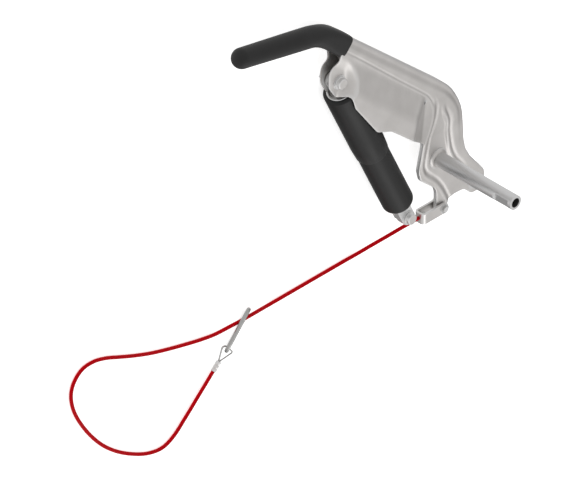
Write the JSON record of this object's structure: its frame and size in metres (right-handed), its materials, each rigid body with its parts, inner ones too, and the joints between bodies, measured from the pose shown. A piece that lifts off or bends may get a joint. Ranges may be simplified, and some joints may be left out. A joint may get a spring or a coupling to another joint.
{
  "type": "trailer handbrake lever",
  "caption": "Pressed-steel trailer handbrake lever with a black grip, a gas strut, a pivot tube and a red breakaway cable with a snap hook.",
  "frame": {"origin": "on the pivot tube's axis, in the lever's mid plane between its two shells", "axes": "+Z along the pivot tube towards its free end; the lever lies in the XY plane, its grip towards -X and +Y; the cable leaves along -X"},
  "size_m": [0.7075, 0.5655, 0.1663],
  "materials": {
    "painted_steel": "satin zinc-plated pressed steel",
    "tube_steel": "satin zinc-plated tube",
    "zinc": "zinc-plated fastener",
    "raw_steel": "plain machined steel",
    "bronze": "sintered bronze",
    "grip_black": "matte black soft plastic",
    "sleeve_black": "satin black plastic",
    "cable_red": "clear red plastic coat over wire rope",
    "wire": "bright zinc-plated wire"
  },
  "bodies": {
    "lever": {"lever_shell_near": "painted_steel", "lever_shell_far": "painted_steel", "pivot_tube": "tube_steel", "tube_weld_rings": "tube_steel", "grip_core": "raw_steel", "grip_sleeve": "grip_black", "strut_bolt_upper": "zinc", "strut_washers_upper": "zinc", "strut_nut_upper": "zinc"},
    "strut_barrel": {"strut_eye_upper": "raw_steel", "strut_bush_upper": "bronze", "strut_top_cap": "zinc", "strut_outer_sleeve": "sleeve_black", "gas_cylinder": "raw_steel", "rod_guide": "bronze"},
    "strut_rod": {"gas_piston": "raw_steel", "piston_rod": "raw_steel", "strut_inner_sleeve": "sleeve_black", "strut_end_plug": "zinc", "strut_eye_lower": "zinc", "strut_bush_lower": "bronze", "strut_bolt_lower": "zinc", "strut_washers_lower": "zinc", "strut_nut_lower": "zinc"},
    "cable_end": {"cable_clevis": "zinc", "clevis_pin": "zinc", "clevis_washer": "zinc", "clevis_clip": "raw_steel", "cable_stop": "raw_steel", "breakaway_cable": "cable_red", "cable_ferrule": "wire", "wire_eye": "wire", "snap_hook_body": "wire", "gate_rivet": "raw_steel", "gate_spring": "raw_steel"},
    "hook_gate": {"snap_hook_gate": "wire"}
  },
  "joints": [
    {"name": "strut_swing", "type": "hinge", "parent": "lever", "child": "strut_barrel", "pos_m": [-0.182, 0.21, 0], "axis": [0, 0, 1], "range_deg": [-30, 3.5]},
    {"name": "strut_slide", "type": "slide", "parent": "strut_barrel", "child": "strut_rod", "axis": [-0.4226, 0.9063, 0], "range_m": [0, 0.08], "stiffness_N_per_m": 400},
    {"name": "clevis_swing", "type": "hinge", "parent": "lever", "child": "cable_end", "pos_m": [0.006, -0.078, 0], "axis": [0, 0, 1], "range_deg": [-2, 35]},
    {"name": "gate_swing", "type": "hinge", "parent": "cable_end", "child": "hook_gate", "pos_m": [-0.32096, -0.10197, -0.02297], "axis": [-0.4321, 0.3837, -0.8161], "range_deg": [0, 25], "stiffness_Nm_per_rad": 0.05}
  ]
}
